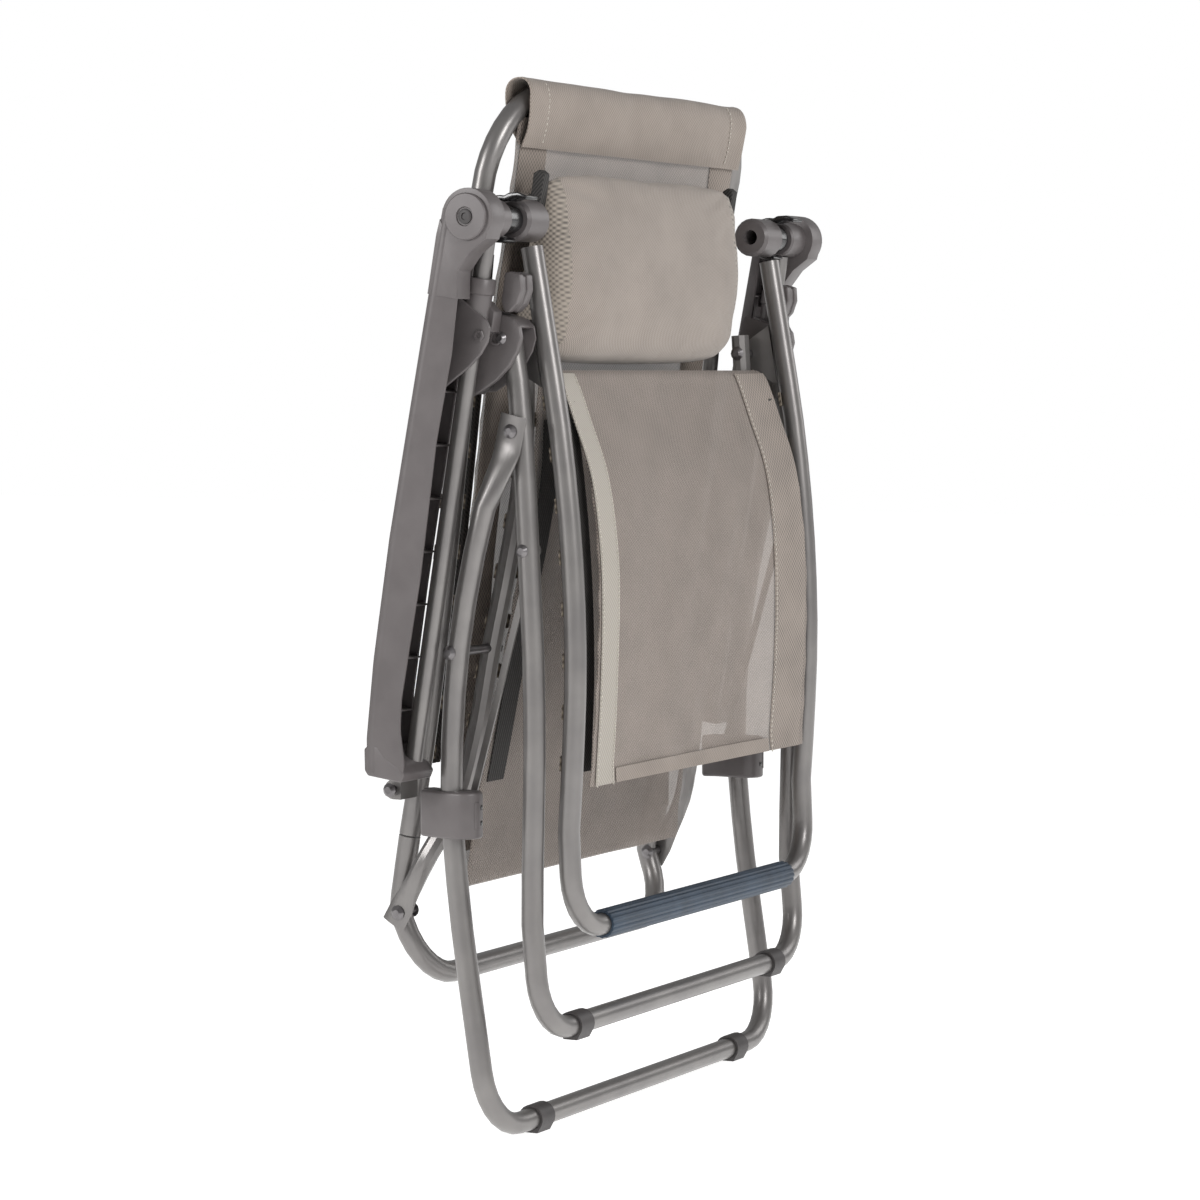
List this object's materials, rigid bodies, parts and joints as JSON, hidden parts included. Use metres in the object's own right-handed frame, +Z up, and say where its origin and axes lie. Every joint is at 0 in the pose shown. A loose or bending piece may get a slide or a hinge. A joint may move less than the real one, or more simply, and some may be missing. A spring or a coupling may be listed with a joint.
{
  "type": "folding recliner",
  "caption": "Folding reclining lounger with tube frames, a mesh sling, headrest pillow, sliding armrest locks and a padded foot bar, shown folded upright.",
  "frame": {"origin": "centre of the folded chair's footprint box, on the ground", "axes": "+Z up, -Y towards the front of the folded chair, +X to the side of the right armrest"},
  "size_m": [0.692, 0.204, 0.9573],
  "materials": {
    "metal": "satin warm grey powder coat",
    "steel": "domed rivets and bolts, satin",
    "arm_plastic": "satin moulded plastic",
    "dark_plastic": "dark moulded plastic",
    "sling_fabric": "coated mesh weave",
    "grip_rubber": "ribbed soft grip"
  },
  "bodies": {
    "rear_leg_frame": {"rear_leg_tube": "metal", "rear_leg_foot_left": "dark_plastic", "rear_leg_foot_right": "dark_plastic", "leg_rivet_left": "steel", "leg_rivet_right": "steel", "seat_pivot_bolt_left": "steel", "seat_pivot_bolt_right": "steel", "storage_clip_left": "arm_plastic", "storage_clip_right": "arm_plastic"},
    "front_leg_frame": {"front_leg_tube": "metal", "front_leg_foot_left": "dark_plastic", "front_leg_foot_right": "dark_plastic", "leg_stay_rivet_left": "steel", "leg_stay_rivet_right": "steel"},
    "leg_stays": {"leg_stay_left": "metal", "leg_stay_right": "metal"},
    "seat_frame": {"seat_rail_left": "metal", "seat_rail_right": "metal", "hip_bolt_left": "steel", "hip_bolt_right": "steel", "knee_bolt_left": "steel", "knee_bolt_right": "steel", "sling_seat": "sling_fabric"},
    "back_frame": {"back_tube": "metal", "back_base_tube": "metal", "arm_link_bracket_left": "metal", "arm_link_bracket_right": "metal", "sling_back": "sling_fabric"},
    "headrest": {"headrest_pillow": "sling_fabric"},
    "legrest_frame": {"legrest_tube": "metal", "foot_grip": "grip_rubber", "knee_bracket_left": "metal", "knee_bracket_right": "metal", "arm_fitting_left": "arm_plastic", "arm_fitting_right": "arm_plastic", "arm_axle_left": "dark_plastic", "arm_axle_right": "dark_plastic", "sling_legrest": "sling_fabric"},
    "armrests": {"armrest_left": "arm_plastic", "armrest_right": "arm_plastic", "arm_slide_tube_left": "metal", "arm_slide_tube_right": "metal", "armrest_disc_left": "arm_plastic", "armrest_disc_right": "arm_plastic", "armrest_screw_left": "steel", "armrest_screw_right": "steel", "arm_link_bolt_left": "steel", "arm_link_bolt_right": "steel", "lock_sleeve_left": "arm_plastic", "lock_sleeve_right": "arm_plastic"},
    "lock_lever_left": {"lock_lever_left": "dark_plastic"},
    "lock_lever_right": {"lock_lever_right": "dark_plastic"},
    "lock_housings": {"lock_housing_left": "arm_plastic", "lock_housing_right": "arm_plastic", "lock_bolt_left": "steel", "lock_bolt_right": "steel"}
  },
  "joints": [
    {"name": "leg_spread", "type": "hinge", "parent": "rear_leg_frame", "child": "front_leg_frame", "pos_m": [0, -0.0455, 0.64], "axis": [-1, 0, 0], "range_deg": [0, 62]},
    {"name": "leg_stay_swing", "type": "hinge", "parent": "front_leg_frame", "child": "leg_stays", "pos_m": [0, -0.0545, 0.534], "axis": [1, 0, 0], "range_deg": [0, 85.01]},
    {"name": "seat_fold", "type": "hinge", "parent": "rear_leg_frame", "child": "seat_frame", "pos_m": [0, 0.0075, 0.443], "axis": [1, 0, 0], "range_deg": [0, 11.01]},
    {"name": "hip_fold", "type": "hinge", "parent": "seat_frame", "child": "back_frame", "pos_m": [0, 0.0855, 0.2], "axis": [-1, 0, 0], "range_deg": [0, 66.01]},
    {"name": "headrest_slide", "type": "slide", "parent": "back_frame", "child": "headrest", "axis": [0, -0.178, 0.984], "range_m": [0, 0.05]},
    {"name": "knee_fold", "type": "hinge", "parent": "seat_frame", "child": "legrest_frame", "pos_m": [0, -0.0255, 0.711], "axis": [-1, 0, 0], "range_deg": [0, 66.01]},
    {"name": "arm_fold", "type": "hinge", "parent": "legrest_frame", "child": "armrests", "pos_m": [0, -0.0355, 0.827], "axis": [1, 0, 0], "range_deg": [0, 66.01]},
    {"name": "lock_lever_left_tilt", "type": "hinge", "parent": "armrests", "child": "lock_lever_left", "pos_m": [0, -0.04505, 0.74943], "axis": [1, 0, 0], "range_deg": [0, 40]},
    {"name": "lock_lever_right_tilt", "type": "hinge", "parent": "armrests", "child": "lock_lever_right", "pos_m": [0, -0.04505, 0.74943], "axis": [1, 0, 0], "range_deg": [0, 40]},
    {"name": "lock_housing_turn", "type": "hinge", "parent": "front_leg_frame", "child": "lock_housings", "pos_m": [0, -0.0375, 0.722], "axis": [1, 0, 0], "range_deg": [0, 73.01]}
  ],
  "couplings": [
    {"joint": "leg_stay_swing", "follows": "leg_spread", "ratio": 1.371},
    {"joint": "seat_fold", "follows": "leg_spread", "ratio": 0.17742},
    {"joint": "hip_fold", "follows": "leg_spread", "ratio": 1.0645},
    {"joint": "knee_fold", "follows": "leg_spread", "ratio": 1.0645},
    {"joint": "arm_fold", "follows": "leg_spread", "ratio": 1.0645},
    {"joint": "lock_housing_turn", "follows": "leg_spread", "ratio": 1.1774}
  ]
}
